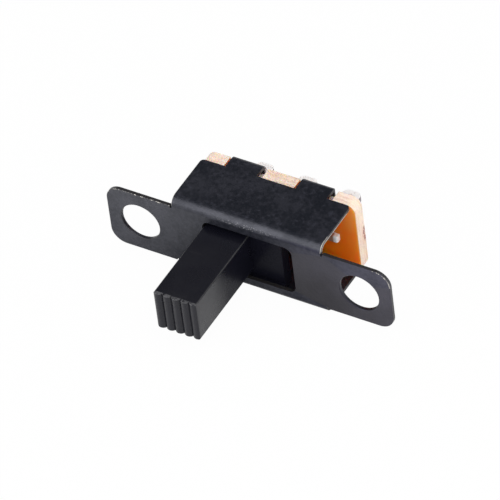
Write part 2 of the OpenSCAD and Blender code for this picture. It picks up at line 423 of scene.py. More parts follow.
@dataclass(frozen=True)
class Finish:
    """What every finish has in common: a name, its effects and a node tree to dress."""

    name: str
    effects: Effects

    def start(self) -> tuple[bpy.types.Material, Patchboard, bpy.types.Node, Any]:
        """Starts the material.

        Returns:
            The material, its patchboard, its shader and the coordinates that its patterns read.
        """
        material = bpy.data.materials.new(self.name)
        material.use_nodes = True
        board = Patchboard(material.node_tree)
        return material, board, material.node_tree.nodes["Principled BSDF"], board.place()

    def grain(self, board: Patchboard, place: Any, scale: float, speck_share: float) -> Any:
        """Places the surface grain and gives its outputs."""
        inputs = {"Place": place, "Scale": scale, "Speck Share": speck_share}
        return board.add("ShaderNodeGroup", inputs, node_tree=self.effects.grain).outputs

    def wear(self, board: Patchboard, place: Any, edge: Any, scale: float) -> bpy.types.NodeSocket:
        """Places the edge wear and gives its mask."""
        inputs = {"Place": place, "Edge": edge, "Scale": scale}
        return board.add("ShaderNodeGroup", inputs, node_tree=self.effects.wear).outputs["Wear"]

    def scratches(self, board: Patchboard, place: Any, scale: float, along: Place) -> bpy.types.NodeSocket:
        """Places the fine scratches and gives their mask."""
        inputs = {"Place": place, "Scale": scale, "Along": along}
        return board.add("ShaderNodeGroup", inputs, node_tree=self.effects.scratches).outputs["Scratches"]

    def relief(self, board: Patchboard, shader: bpy.types.Node, height: Any, depth: float) -> None:
        """Feeds a height to the shader's normal.

        Args:
            board: patchboard of the material.
            shader: shader to feed.
            height: the height's socket, from 0 to 1.
            depth: depth of the relief.
        """
        bump = board.add("ShaderNodeBump", {"Height": height, "Distance": depth * MM, "Strength": 1.0})
        board.feed(shader, {"Normal": bump.outputs["Normal"]})

    def pitted_relief(
        self, board: Patchboard, shader: bpy.types.Node, grain: Any, flat: Any, depth: float
    ) -> None:
        """Gives the shader the relief of a grained and pitted surface.

        Args:
            board: patchboard of the material.
            shader: shader to feed.
            grain: outputs of the surface grain.
            flat: mask of the places that lie lower, such as worn ones.
            depth: depth of the relief.
        """
        height = board.total(board.product(grain["Grain"], 0.5), grain["Pits"])
        height = board.maths("SUBTRACT", height, board.product(flat, 0.5))
        self.relief(board, shader, height, depth)


@dataclass(frozen=True)
class CoatedSteel(Finish):
    """Satin black coating on thin steel, worn to bare metal along its cut edges."""

    coating: Colour = (0.0030, 0.0042, 0.0080)
    dull: Colour = (0.0125, 0.0132, 0.0192)
    mottling: Ramp = Ramp(0.41, 0.59)
    pit_share: float = 0.6
    grain_scale: float = 9.0
    grain_depth: float = 0.008
    speck: Colour = (0.026, 0.028, 0.040)
    speck_share: float = 0.18
    speck_strength: float = 0.5
    scratch: Colour = (0.05, 0.05, 0.055)
    scratch_scale: float = 6.0
    scratch_along: Place = (0.05, 1.0, 1.0)
    scratch_strength: float = 0.25
    # Painted glints: light specks in the colour along the fold, painted sparkle of its highlight
    glint: Colour = (0.17, 0.17, 0.18)
    glint_scale: float = 15.0
    glint_level: Ramp = Ramp(0.58, 0.68)
    painted_glint_fold: Patch = Patch((0.1, 0.10, 2.42), (2.9, 0.22, 0.20))
    cut: Colour = (0.0150, 0.0140, 0.0140)
    cut_level: Ramp = Ramp(0.05, 0.2)
    bare: Colour = (0.52, 0.50, 0.46)
    wear_scale: float = 3.6
    roughness: Ramp = Ramp(0.3, 0.7, 0.33, 0.44)
    worn_smooth: float = 0.08

    # Specular level and tint of the coating. The level is painted reflection and shade, not gloss: higher
    # towards the ears' ends and the upper edge, lower in the middle and low on the plate, falling to the
    # right on the upper flange, and raised along the fold as a painted highlight; the right half of the
    # plate gets a bluer painted reflection tint
    sheen_tint: Colour = (0.87, 0.88, 1.0)
    right_tint: Colour = (0.72, 0.70, 1.0)
    right_half: Ramp = Ramp(0.0, 5.0)
    front_face: Ramp = Ramp(0.03, 0.10, 1.0, 0.0)
    sheen_clouds: Ramp = Ramp(0.35, 0.65, 0.85, 1.15)
    plate_sheen: Span = (0.27, 0.97)
    left_gain: Ramp = Ramp(-9.5, -3.0, 0.46, 0.0)
    right_gain: Ramp = Ramp(4.2, 9.5, 0.0, 0.50)
    upper_gain: Ramp = Ramp(-2.4, 2.6, 0.0, 0.48)
    behind_plate: Ramp = Ramp(0.02, 0.30)
    flange_sheen: Ramp = Ramp(-5.0, 5.0, 0.58, 0.47)
    fold_top: Ramp = Ramp(2.3, 2.5)
    fold_front: Ramp = Ramp(0.3, 0.5, 1.0, 0.0)
    fold_gain: Ramp = Ramp(-4.5, 0.0, 0.08, 0.24)

    # Where the torn rim of the upper flange lies, and how far it is bare
    channel_end: float = 5.10
    end_reach: float = 0.025
    channel_middle: float = 0.03
    fold_centre: Span = (0.65, 2.15)
    fold_inside: float = 0.40
    fold_reach: Ramp = Ramp(0.8, 1.3, 1.0, 0.0)
    ear_top: float = 2.28
    sheet: float = 0.25
    inner_lip: Ramp = Ramp(0.30, 0.48, 1.0, 0.0)
    inner_strength: Span = (0.84, 1.0)
    outer_lip: Ramp = Ramp(0.72, 0.86)

    def painted_sheen(self, board: Patchboard, place: Any) -> bpy.types.NodeSocket:
        """Works out the painted sheen: a specular level that paints brighter reflections at the plate's ear
        ends and upper edge, darker ones in its middle and low down, painted shade falling to the right on
        the upper flange, and a painted highlight along the fold.

        Args:
            board: patchboard of the material.
            place: coordinates that it reads.

        Returns:
            The socket of the specular level.
        """
        x, y, z = board.split(place)
        rise = board.total(board.ramp(x, self.left_gain), board.ramp(x, self.right_gain))
        rise = board.total(rise, board.ramp(z, self.upper_gain))
        plate = board.between(rise, *self.plate_sheen)
        flange = board.ramp(x, self.flange_sheen)
        level = board.between(board.ramp(y, self.behind_plate), plate, flange)
        fold = board.product(board.ramp(z, self.fold_top), board.ramp(y, self.fold_front))
        return board.total(level, board.product(fold, board.ramp(x, self.fold_gain)))

    def torn_rim(self, board: Patchboard, place: Any) -> bpy.types.NodeSocket:
        """Marks the bright torn lips on the sheared ends of the upper flange, most at the fold.

        Args:
            board: patchboard of the material.
            place: coordinates that it reads.

        Returns:
            The socket of the bareness, from 0 to 1.
        """
        x, y, z = board.split(place)
        height = board.maths("SUBTRACT", z, self.channel_middle)
        inward = board.maths("MAXIMUM", board.maths("SUBTRACT", self.fold_centre[0], y), 0.0)
        upward = board.maths("MAXIMUM", board.maths("SUBTRACT", height, self.fold_centre[1]), 0.0)
        square = board.total(board.product(inward, inward), board.product(upward, upward))
        radius = board.maths("SQRT", square)
        through = board.maths("DIVIDE", board.maths("SUBTRACT", radius, self.fold_inside), self.sheet)
        at_fold = board.ramp(y, self.fold_reach)
        strength = board.between(at_fold, *self.inner_strength)
        inner = board.product(board.ramp(through, self.inner_lip), strength)
        outer = board.product(board.ramp(through, self.outer_lip), at_fold)
        from_end = board.maths("SUBTRACT", board.maths("ABSOLUTE", x), self.channel_end)
        on_end = board.maths("LESS_THAN", board.maths("ABSOLUTE", from_end), self.end_reach)
        upper = board.maths("GREATER_THAN", height, 0.0)
        above_ear = board.maths("GREATER_THAN", height, self.ear_top)
        behind_ear = board.maths("GREATER_THAN", y, self.sheet)
        seen = board.product(on_end, upper, board.maths("MAXIMUM", above_ear, behind_ear))
        return board.product(board.maths("MAXIMUM", inner, outer), seen)

    def make(self) -> bpy.types.Material:
        """Builds the material.

        Returns:
            The finished material.
        """
        material, board, shader, place = self.start()
        grain = self.grain(board, place, self.grain_scale, self.speck_share)
        marked = board.marked()
        edge = board.maths("MAXIMUM", marked, self.torn_rim(board, place))
        wear = self.wear(board, place, edge, self.wear_scale)
        scratches = self.scratches(board, place, self.scratch_scale, self.scratch_along)
        mottle = board.between(self.pit_share, grain["Blotches"], grain["Pits"])
        tone = board.blend(board.ramp(mottle, self.mottling), self.coating, self.dull)
        tone = board.blend(board.product(grain["Specks"], self.speck_strength), tone, self.speck)
        tone = board.blend(board.product(scratches, self.scratch_strength), tone, self.scratch)
        # Painted highlight: light specks in the colour along the fold
        glints = board.ramp(board.noise(place, self.glint_scale, detail=1.0), self.glint_level)
        tone = board.blend(board.product(board.spot(place, self.painted_glint_fold), glints), tone, self.glint)
        tone = board.blend(board.ramp(marked, self.cut_level), tone, self.cut)
        tone = board.blend(wear, tone, self.bare)
        rough = board.ramp(grain["Grain"], self.roughness)
        rough = board.maths("SUBTRACT", rough, board.product(wear, self.worn_smooth))
        # The specular level is painted reflection and shade, varied at random by the blotches
        painted_sheen = board.product(self.painted_sheen(board, place), board.ramp(grain["Blotches"], self.sheen_clouds))
        x, y, _ = board.split(place)
        # A bluer tint on the right half of the plate, a painted reflection colour
        plate_right = board.product(board.ramp(x, self.right_half), board.ramp(y, self.front_face))
        tint = board.blend(plate_right, self.sheen_tint, self.right_tint)
        board.feed(shader, {"Base Color": tone, "Roughness": rough, "Metallic": wear})
        board.feed(shader, {"Specular IOR Level": painted_sheen, "Specular Tint": tint})
        self.pitted_relief(board, shader, grain, wear, self.grain_depth)
        return material


@dataclass(frozen=True)
class PaperLaminate(Finish):
    """Amber paper laminate with smooth resin faces and paler fibrous cut edges."""

    # The face is paler and yellower towards the open right end, painted light falling in there, and towards
    # the top; elsewhere it is deep red, painted shade
    face: Colour = (0.95, 0.42, 0.075)
    face_in_shade: Colour = (0.97, 0.22, 0.005)
    lit_end: Ramp = Ramp(4.2, 5.3)
    paler_top: Ramp = Ramp(0.0, 2.4)
    unevenness: Ramp = Ramp(0.3, 0.7, 0.2, 0.6)
    edge: Colour = (0.97, 0.78, 0.66)
    edge_dark: Colour = (0.80, 0.55, 0.43)
    torn_level: Ramp = Ramp(0.12, 0.30)
    dirt: Colour = (0.36, 0.22, 0.16)
    dirt_level: Ramp = Ramp(0.57, 0.68, 0.0, 0.50)
    soiled: Patch = Patch((0.6, 4.3, 2.80), (1.9, 0.8, 0.5), 0.5, 0.30)
    soiled_level: Ramp = Ramp(0.38, 0.58)
    resin: Colour = (0.92, 0.60, 0.36)
    resin_level: Ramp = Ramp(0.58, 0.72, 0.0, 0.30)
    stain: Colour = (0.34, 0.11, 0.11)
    stained: Patch = Patch((5.35, 4.66, 0.0), (0.4, 0.24, 0.85), 0.5)
    stained_level: Ramp = Ramp(0.40, 0.52)
    # Brown rim tone: the board's own brown edge along the slanted front rim, and painted shade on the notch
    # walls
    rim: Colour = (0.60, 0.24, 0.07)
    rim_share: float = 0.5
    rim_level: Ramp = Ramp(0.1, 0.3, 0.8, 0.0)
    sawn_level: Ramp = Ramp(0.3, 0.7)
    layer_scale: float = 7.0
    grain_scale: float = 4.0
    speck_share: float = 0.1
    roughness: Ramp = Ramp(0.0, 1.0, 0.34, 0.88)
    glow: Ramp = Ramp(0.0, 1.0, 1.0, 0.25)
    glow_colour: Colour = (1.0, 0.38, 0.06)
    glow_depth: float = 1.4
    fuzz_depth: float = 0.018
    face_grain: float = 0.12

    def sawn_tone(self, board: Patchboard, place: Any, layers: Any, torn: Any) -> bpy.types.NodeSocket:
        """Works out the colour of the sawn edges, with their dirt, resin and red stain.

        Args:
            board: patchboard of the material.
            place: coordinates that it reads.
            layers: outputs of the paper layers.
            torn: how far the fibres are torn.

        Returns:
            The colour's socket.
        """
        fibres = layers["Fibres"]
        tone = board.blend(board.ramp(torn, self.torn_level), self.edge_dark, self.edge)
        soiled = board.product(board.spot(place, self.soiled), board.ramp(fibres, self.soiled_level))
        tone = board.blend(board.total(board.ramp(fibres, self.dirt_level), soiled), tone, self.dirt)
        tone = board.blend(board.ramp(layers["Stains"], self.resin_level), tone, self.resin)
        stained = board.product(board.spot(place, self.stained), board.ramp(fibres, self.stained_level))
        return board.blend(stained, tone, self.stain)

    def make(self) -> bpy.types.Material:
        """Builds the material.

        Returns:
            The finished material.
        """
        material, board, shader, place = self.start()
        sawn = board.marked()
        inputs = {"Place": place, "Scale": self.layer_scale}
        layers = board.add("ShaderNodeGroup", inputs, node_tree=self.effects.layers).outputs
        grain = self.grain(board, place, self.grain_scale, self.speck_share)
        x, _, z = board.split(place)
        # Paler towards the open right end, painted light falling in there, and towards the top; deep red
        # elsewhere, painted shade
        paler_share = board.total(board.ramp(x, self.lit_end), board.ramp(z, self.paler_top))
        paler_share = board.product(paler_share, board.ramp(grain["Blotches"], self.unevenness))
        face = board.blend(paler_share, self.face_in_shade, self.face)
        torn = board.product(layers["Layers"], layers["Fibres"])
        edge = self.sawn_tone(board, place, layers, torn)
        tone = board.blend(board.ramp(sawn, self.sawn_level), face, edge)
        from_rim = board.maths("ABSOLUTE", board.maths("SUBTRACT", sawn, self.rim_share))
        tone = board.blend(board.ramp(from_rim, self.rim_level), tone, self.rim)
        board.feed(shader, {"Base Color": tone, "Roughness": board.ramp(sawn, self.roughness)})
        board.feed(shader, {"Subsurface Weight": board.ramp(sawn, self.glow)})
        board.feed(shader, {"Subsurface Radius": self.glow_colour, "Subsurface Scale": self.glow_depth * MM})
        fuzz = board.product(board.total(torn, layers["Fibres"]), sawn)
        height = board.total(fuzz, board.product(grain["Grain"], self.face_grain))
        self.relief(board, shader, height, self.fuzz_depth)
        return material


@dataclass(frozen=True)
class TinnedBrass(Finish):
    """Dipped tin on stamped brass, a little uneven, with the brass grey-brown where it was cut."""

    tin: Colour = (0.98, 0.98, 0.98)
    speck: Colour = (0.55, 0.52, 0.5)
    speck_share: float = 0.2
    speck_strength: float = 0.4
    cut: Colour = (0.28, 0.25, 0.27)
    wear_scale: float = 3.0
    # Painted shade: the middle of each head inside the frame is brown, its ends stay bright
    head_shade: Colour = (0.30, 0.10, 0.03)
    head_shade_strength: float = 0.9
    head_shade_reach: Ramp = Ramp(0.22, 0.27, 1.0, 0.0)
    inside: Ramp = Ramp(3.7, 3.9, 1.0, 0.0)
    pitch: float = 3.0
    middle: float = 0.1
    grain_scale: float = 5.0
    grain_share: float = 0.2
    roughness: Ramp = Ramp(0.3, 0.7, 0.42, 0.62)
    metallic: float = 0.05
    dip_depth: float = 0.03

    def painted_head_shade(self, board: Patchboard, place: Any) -> bpy.types.NodeSocket:
        """Marks the painted shade on each terminal's head inside the frame: brown over its middle, clear
        towards its ends.

        Args:
            board: patchboard of the material.
            place: coordinates that it reads.

        Returns:
            The mask's socket.
        """
        x, y, _ = board.split(place)
        row = board.maths("DIVIDE", board.maths("SUBTRACT", x, self.middle), self.pitch)
        aside = board.maths("SUBTRACT", board.maths("FRACT", board.total(row, 0.5)), 0.5)
        near = board.ramp(board.maths("ABSOLUTE", aside), self.head_shade_reach)
        return board.product(near, board.ramp(y, self.inside), self.head_shade_strength)

    def make(self) -> bpy.types.Material:
        """Builds the material.

        Returns:
            The finished material.
        """
        material, board, shader, place = self.start()
        grain = self.grain(board, place, self.grain_scale, self.speck_share)
        wear = self.wear(board, place, board.marked(), self.wear_scale)
        tone = board.blend(board.product(grain["Specks"], self.speck_strength), self.tin, self.speck)
        tone = board.blend(wear, tone, self.cut)
        # Painted shade over the middle of each head
        tone = board.blend(self.painted_head_shade(board, place), tone, self.head_shade)
        rough = board.ramp(grain["Blotches"], self.roughness)
        board.feed(shader, {"Base Color": tone, "Roughness": rough, "Metallic": self.metallic})
        height = board.total(grain["Blotches"], board.product(grain["Grain"], self.grain_share))
        self.relief(board, shader, height, self.dip_depth)
        return material


@dataclass(frozen=True)
class MouldedPlastic(Finish):
    """Matt black moulding with a fine spark-eroded texture and light handling marks."""

    body: Colour = (0.0056, 0.0057, 0.0100)
    speck: Colour = (0.013, 0.0132, 0.0190)
    speck_share: float = 0.12
    speck_strength: float = 0.35
    rubbed: Colour = (0.0300, 0.0302, 0.0330)
    wear_scale: float = 3.5
    scratch_scale: float = 5.0
    scratch_along: Place = (1.0, 0.06, 1.0)
    scratch_strength: float = 0.35
    scuff: Patch = Patch((-2.35, -2.12, 1.375), (0.62, 0.11, 0.10), 0.6, 0.30)
    handled_tip: Patch = Patch((-1.55, -5.95, 1.375), (1.60, 0.75, 0.12), 0.9, 0.28)
    rib_front: float = -5.85
    # Lighter patches along the top rims of the ribs: partly rubbed wear, partly a painted highlight on the
    # unrounded rims
    rib_rim_wear_and_highlight: Colour = (0.090, 0.090, 0.096)
    rim_height: Ramp = Ramp(1.28, 1.34)
    rim_level: Ramp = Ramp(0.36, 0.56, 0.0, 0.9)
    roughness: Ramp = Ramp(0.3, 0.7, 0.25, 0.35)
    grain_scale: float = 11.0
    grain_depth: float = 0.0035
    # Painted reflection and shade in the specular level: lower on the ribs, lower towards the rear of the
    # handle's sides below its top, where the plate's reflected shade falls, and lowest on the flange inside
    # the frame, painted shade
    handle_sheen: float = 0.5
    rib_sheen: float = 0.34
    rear_sheen: float = 0.08
    rearward: Ramp = Ramp(-4.7, -2.2)
    below_top: Ramp = Ramp(1.30, 1.37, 1.0, 0.0)
    inside_sheen: float = 0.06
    inside: Ramp = Ramp(-0.2, 0.2)

    def make(self) -> bpy.types.Material:
        """Builds the material.

        Returns:
            The finished material.
        """
        material, board, shader, place = self.start()
        grain = self.grain(board, place, self.grain_scale, self.speck_share)
        wear = self.wear(board, place, board.marked(), self.wear_scale)
        scratches = self.scratches(board, place, self.scratch_scale, self.scratch_along)
        _, y, z = board.split(place)
        on_ribs = board.maths("LESS_THAN", y, self.rib_front)
        tone = board.blend(board.product(grain["Specks"], self.speck_strength), self.body, self.speck)
        tone = board.blend(board.product(scratches, self.scratch_strength), tone, self.rubbed)
        handled = board.maths("MAXIMUM", board.spot(place, self.scuff), board.spot(place, self.handled_tip))
        tone = board.blend(board.product(handled, grain["Grain"]), tone, self.rubbed)
        tone = board.blend(wear, tone, self.rubbed)
        # Lighter rib rims: partly rubbed wear, partly a painted highlight
        rim = board.product(board.ramp(z, self.rim_height), on_ribs)
        rim = board.product(rim, board.ramp(grain["Pits"], self.rim_level))
        tone = board.blend(rim, tone, self.rib_rim_wear_and_highlight)
        # Painted reflection and shade: the specular level falls at the rear of the sides and on the flange
        # inside the frame
        rearward = board.product(board.ramp(y, self.rearward), board.ramp(z, self.below_top))
        painted_sheen = board.between(rearward, self.handle_sheen, self.rear_sheen)
        painted_sheen = board.between(on_ribs, painted_sheen, self.rib_sheen)
        painted_sheen = board.between(board.ramp(y, self.inside), painted_sheen, self.inside_sheen)
        rough = board.ramp(grain["Blotches"], self.roughness)
        board.feed(shader, {"Base Color": tone, "Roughness": rough, "Specular IOR Level": painted_sheen})
        self.pitted_relief(board, shader, grain, scratches, self.grain_depth)
        return material


@dataclass(frozen=True)
class DrawnMetal(Finish):
    """Bright rolled strip or drawn wire, with fine lines along its length."""

    metal: Colour = (0.72, 0.46, 0.28)
    along: Place = (0.04, 1.0, 1.0)
    line_scale: float = 9.0
    line_depth: float = 0.002
    grain_scale: float = 5.0
    speck_share: float = 0.1
    darker: float = 0.6
    dark_level: Ramp = Ramp(0.4, 0.8, 0.0, 0.6)
    roughness: Ramp = Ramp(0.3, 0.7, 0.26, 0.36)

    def make(self) -> bpy.types.Material:
        """Builds the material.

        Returns:
            The finished material.
        """
        material, board, shader, place = self.start()
        lines = self.scratches(board, place, self.line_scale, self.along)
        grain = self.grain(board, place, self.grain_scale, self.speck_share)
        dark = tuple(self.darker * c for c in self.metal)
        tone = board.blend(board.ramp(grain["Blotches"], self.dark_level), self.metal, dark)
        rough = board.ramp(grain["Grain"], self.roughness)
        board.feed(shader, {"Base Color": tone, "Roughness": rough, "Metallic": 1.0})
        self.relief(board, shader, lines, self.line_depth)
        return material


# The workbench


def put_down_all() -> None:
    """Deselects every object."""
    for thing in bpy.context.selected_objects:
        thing.select_set(False)


def pick_up(piece: bpy.types.Object) -> None:
    """Makes a piece the only selected and active object.

    Args:
        piece: the piece.
    """
    put_down_all()
    piece.select_set(True)
    bpy.context.view_layer.objects.active = piece


def merge_points(piece: bpy.types.Object, reach: float, flatten: bool) -> None:
    """Joins the points of a piece that lie close together.

    Args:
        piece: the piece, in millimetres.
        reach: distance within which points are joined.
        flatten: whether faces in one plane are joined too.
    """
    pick_up(piece)
    bpy.ops.object.mode_set(mode="EDIT")
    bpy.ops.mesh.select_all(action="SELECT")
    bpy.ops.mesh.remove_doubles(threshold=reach)
    if flatten:
        bpy.ops.mesh.dissolve_limited(angle_limit=FLAT_ANGLE)
    bpy.ops.object.mode_set(mode="OBJECT")


def take_copy(node: str, name: str) -> bpy.types.Object:
    """Copies a CAD node, in millimetres, and joins its loose triangles into whole faces.

    Args:
        node: the CAD node.
        name: name of the new piece.

    Returns:
        The copy.
    """
    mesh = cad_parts[node].data.copy()
    mesh.name = name
    mesh.materials.clear()
    mesh.transform(Matrix.Scale(1 / MM, 4))
    piece = bpy.data.objects.new(name, mesh)
    bpy.context.scene.collection.objects.link(piece)
    pick_up(piece)
    bpy.ops.mesh.customdata_custom_splitnormals_clear()
    merge_points(piece, CAD_MERGE, flatten=True)
    return piece


def round_edges(piece: bpy.types.Object, rule: EdgeRule, segments: int = 3) -> None:
    """Rounds the sharp outer edges of a piece; its inner corners stay sharp.

    Args:
        piece: the piece, in millimetres.
        rule: gives an edge's grade from its middle and the normals of its two faces.
        segments: faces across each rounding.
    """
    widest = max(grade.value for grade in EdgeGrade)
    build = bmesh.new()
    build.from_mesh(piece.data)
    weight = build.edges.layers.float.new("bevel_weight_edge")
    for edge in build.edges:
        if len(edge.link_faces) == 2 and edge.calc_face_angle_signed() > SHARP_ANGLE:
            middle = (edge.verts[0].co + edge.verts[1].co) / 2
            grade = rule(middle, edge.link_faces[0].normal, edge.link_faces[1].normal)
            edge[weight] = grade.value / widest
    build.to_mesh(piece.data)
    build.free()
    rounding = piece.modifiers.new("rounding", "BEVEL")
    rounding.limit_method = "WEIGHT"
    rounding.width = widest
    rounding.segments = segments
    rounding.use_clamp_overlap = False
    apply_modifiers(piece)
    merge_points(piece, ROUNDED_MERGE, flatten=False)


def apply_modifiers(piece: bpy.types.Object) -> None:
    """Applies every modifier of a piece, in order.

    Args:
        piece: the piece.
    """
    pick_up(piece)
    for name in [modifier.name for modifier in piece.modifiers]:
        bpy.ops.object.modifier_apply(modifier=name)


def mark_edges(piece: bpy.types.Object, rule: FaceRule) -> None:
    """Writes how far each face shows a cut or worn edge.

    Args:
        piece: the piece, in millimetres.
        rule: gives the share, from 0 to 1, from a face's centre and normal.
    """
    shares = [rule(face.center, face.normal) for face in piece.data.polygons]
    marks = piece.data.attributes.new(CUT_EDGE, "FLOAT", "FACE")
    marks.data.foreach_set("value", shares)


def finish_mesh(piece: bpy.types.Object) -> None:
    """Shades a piece smooth between its sharp edges and brings it back to metres.

    Args:
        piece: the piece, in millimetres.
    """
    pick_up(piece)
    bpy.ops.object.shade_smooth_by_angle(angle=SMOOTH_ANGLE)
    weighted = piece.modifiers.new("flat faces stay flat", "WEIGHTED_NORMAL")
    weighted.keep_sharp = True
    apply_modifiers(piece)
    piece.scale = (MM, MM, MM)
    bpy.ops.object.transform_apply(location=True, rotation=True, scale=True)


def set_in_place(
    piece: bpy.types.Object, node: str, body: Body, finish: bpy.types.Material
) -> None:
    """Gives a finished piece its material and puts it in its node's place.

    Args:
        piece: the finished piece.
        node: CAD node that it stands for.
        body: body that it rides on.
        finish: its material.
    """
    piece.data.materials.append(finish)
    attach(piece, body.value)
    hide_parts(node)
    log.info("%s: %d faces, rides on %s", piece.name, len(piece.data.polygons), body.value)


def slants(part: float) -> bool:
    """Says whether a face slants to an axis, from its normal's part along it."""
    return SLANT[0] < abs(part) < SLANT[1]


# The switch


@dataclass
class SwitchPart:
    """What the parts that are dressed as copies have in common."""

    effects: Effects
    body: Body = Body.HOUSING
    slot: Slot = Slot.FRAME

    def edge_grade(self, middle: Vector, first: Vector, second: Vector) -> EdgeGrade:
        """Grades an edge from its middle and the normals of its two faces."""
        return EdgeGrade.CRISP

    def edge_share(self, centre: Vector, normal: Vector) -> float:
        """Says how far a face shows a cut or worn edge, from 0 to 1."""
        return 0.0

    def dress(self, node: str, name: str, finish: bpy.types.Material) -> bpy.types.Object:
        """Copies a CAD node, rounds and marks its edges and gives it its finish.

        Args:
            node: the CAD node.
            name: name of the dressed piece.
            finish: its material.

        Returns:
            The dressed piece.
        """
        piece = take_copy(node, name)
        round_edges(piece, self.edge_grade)
        mark_edges(piece, self.edge_share)
        finish_mesh(piece)
        set_in_place(piece, node, self.body, finish)
        return piece


@dataclass
class SteelFrame(SwitchPart):
    """The folded frame: front plate with ears, two flanges and four crimped tabs."""

    sheet: float = 0.25
    relief_end: float = 5.22
    ear_half: float = 2.3
    ear_corner: float = 8.3
    window_end: float = 3.2
    hole_x: float = 7.5
    hole_r: float = 1.325
    hole_rim: float = 0.08
    tab_start: float = 4.9
    sheared: float = 0.3
    flange_wear: float = 0.15
    hole_wear: float = 0.1
    hole_front_wear: float = 0.28
    notch_wear: float = 0.1
    left_wear: float = 0.30
    left_top_wear: float = 0.60
    right_wear: float = 0.36
    right_corner_wear: float = 0.68

    def by_hole(self, place: Vector) -> bool:
        """Says whether a place lies on the wall or the rim of a mounting hole."""
        return math.hypot(abs(place.x) - self.hole_x, place.z) < self.hole_r + self.hole_rim

    def edge_grade(self, middle: Vector, first: Vector, second: Vector) -> EdgeGrade:
        """Grades an edge: rolled round the holes in front, where the punch came in, and crisp elsewhere.

        Args:
            middle: the edge's middle.
            first: normal of one of its faces.
            second: normal of the other face.

        Returns:
            The edge's grade.
        """
        if middle.y < NEAR and min(first.y, second.y) < -FACING:
            if self.by_hole(middle):
                return EdgeGrade.ROLLED
            return EdgeGrade.EASED if abs(middle.x) > self.relief_end else EdgeGrade.CRISP
        on_back = abs(middle.y - self.sheet) < NEAR and max(first.y, second.y) > FACING
        return EdgeGrade.NONE if on_back and abs(middle.x) < self.window_end else EdgeGrade.CRISP

    def rim_wear(self, centre: Vector) -> float:
        """Says how worn the front rim of the plate is: most on the upper rims of the two ears.

        Args:
            centre: centre of a face on the rim.

        Returns:
            The share, from 0 to 1.
        """
        if abs(centre.x) < self.relief_end:
            return self.notch_wear
        if centre.x < 0:
            return self.left_top_wear if centre.z > 0 else self.left_wear
        on_corner = centre.x > self.ear_corner and centre.z > 0
        return self.right_corner_wear if on_corner else self.right_wear

    def edge_share(self, centre: Vector, normal: Vector) -> float:
        """Says how far a face is worn to bare steel.

        Args:
            centre: the face's centre.
            normal: the face's normal.

        Returns:
            The share, from 0, coated, to 1, bare.
        """
        in_plate = centre.y < self.sheet and abs(centre.z) < self.ear_half
        if not in_plate:
            on_end = abs(normal.x) > LEANING
            return self.flange_wear if on_end or centre.y > self.tab_start else 0.0
        if self.by_hole(centre):
            return self.hole_front_wear if normal.y < -LEANING else self.hole_wear
        if slants(normal.y) and normal.y < 0:
            return self.rim_wear(centre)
        return self.sheared if abs(normal.y) < SLANT[0] else 0.0

    def build(self) -> None:
        """Builds and dresses the frame."""
        finish = CoatedSteel("satin_black_coating", self.effects).make()
        self.dress("steel_frame", "folded_steel_frame", finish)


@dataclass
class BaseBoard(SwitchPart):
    """The laminate board that closes the back."""

    slot: Slot = Slot.BASE
    front: float = 3.85
    notch_end: float = 4.5
    rim_share: float = 0.5

    def edge_grade(self, middle: Vector, first: Vector, second: Vector) -> EdgeGrade:
        """Grades an edge: less rounded round the front face than behind."""
        return EdgeGrade.EASED if middle.y < self.front + NEAR else EdgeGrade.WORN

    def edge_share(self, centre: Vector, normal: Vector) -> float:
        """Tells sawn edges, resin faces, and the notches and the front rim in between.

        Args:
            centre: the face's centre.
            normal: the face's normal.

        Returns:
            The share, from 0, resin, to 1, sawn.
        """
        # The notch walls take the brown rim tone instead of the sawn one, painted shade inside the notches
        in_notch = abs(normal.x) > FACING and abs(centre.x) < self.notch_end
        if in_notch or (slants(normal.y) and normal.y < 0):
            return self.rim_share
        return 1.0 if abs(normal.y) < FACING else 0.0

    def build(self) -> None:
        """Builds and dresses the board."""
        finish = PaperLaminate("amber_paper_laminate", self.effects).make()
        self.dress("base_board", "laminate_base", finish)


@dataclass
class Terminals(SwitchPart):
    """The row of three tinned strips with their heads and solder lugs."""

    slot: Slot = Slot.TERMINAL
    names: tuple[str, str, str] = ("left_terminal", "middle_terminal", "right_terminal")
    board_back: float = 4.75
    lug_start: float = 5.15
    eye_y: float = 6.80
    eye_r: float = 0.30
    eye_rim: float = 0.02
    pitch: float = 3.0
    middle_x: float = 0.1
    right_cut: float = 0.85
    other_cut: float = 0.5

    def edge_grade(self, middle: Vector, first: Vector, second: Vector) -> EdgeGrade:
        """Grades an edge: soft with tin on the lugs, crisper inside and round the eyes.

        Args:
            middle: the edge's middle.
            first: normal of one of its faces; not used.
            second: normal of the other face; not used.

        Returns:
            The edge's grade.
        """
        row = (middle.x - self.middle_x) / self.pitch
        aside = (row - round(row)) * self.pitch
        if math.hypot(aside, middle.y - self.eye_y) < self.eye_r + self.eye_rim:
            return EdgeGrade.CRISP
        return EdgeGrade.ROLLED if middle.y > self.lug_start else EdgeGrade.EASED

    def edge_share(self, centre: Vector, normal: Vector) -> float:
        """Says how far a face shows the cut brass: only behind the board, most on the right.

        Args:
            centre: the face's centre.
            normal: the face's normal.

        Returns:
            The share, from 0 to 1.
        """
        if centre.y < self.board_back or abs(normal.z) > LEANING:
            return 0.0
        return self.right_cut if normal.x > LEANING else self.other_cut

    def build(self) -> None:
        """Builds and dresses the terminals."""
        finish = TinnedBrass("dipped_tin", self.effects).make()
        for node in self.names:
            self.dress(node, node.replace("terminal", "tinned_terminal"), finish)


